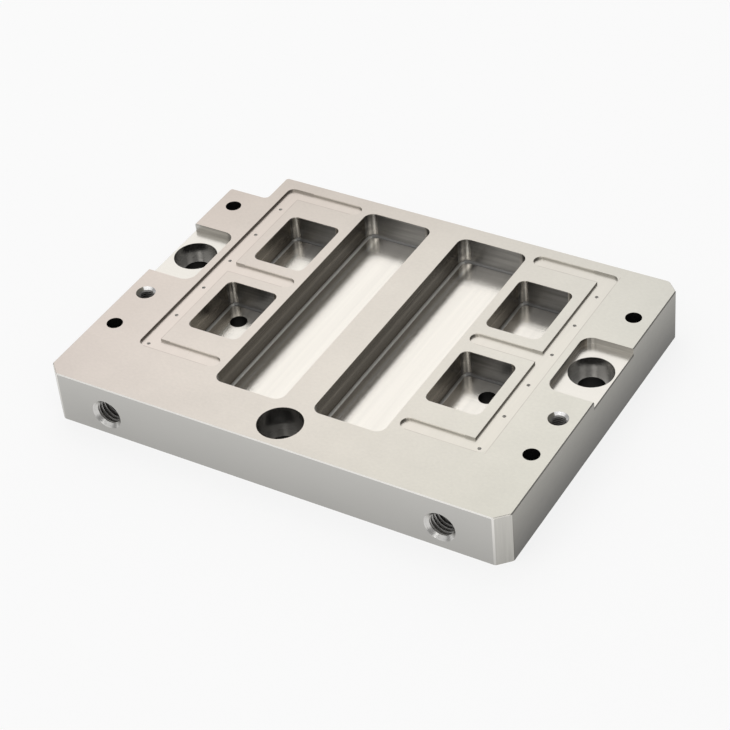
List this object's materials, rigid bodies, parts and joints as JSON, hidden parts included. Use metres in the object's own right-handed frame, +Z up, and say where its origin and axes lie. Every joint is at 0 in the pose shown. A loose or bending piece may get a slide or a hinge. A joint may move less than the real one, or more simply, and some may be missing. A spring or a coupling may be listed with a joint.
{
  "type": "clamp base",
  "caption": "Flat milled steel clamp base: notched plate with long and small pockets, shallow air channels with fine air holes, side recesses, counterbores and tapped ports.",
  "frame": {"origin": "middle of the plate, on its bottom face", "axes": "+X along the long side, +Y to the side with the notch in its left corner, +Z up out of the pockets"},
  "size_m": [0.2, 0.15, 0.023],
  "materials": {
    "steel": "bare steel, fine ground on top and milled in the pockets"
  },
  "bodies": {
    "root": {"clamp_base": "steel"}
  },
  "joints": []
}
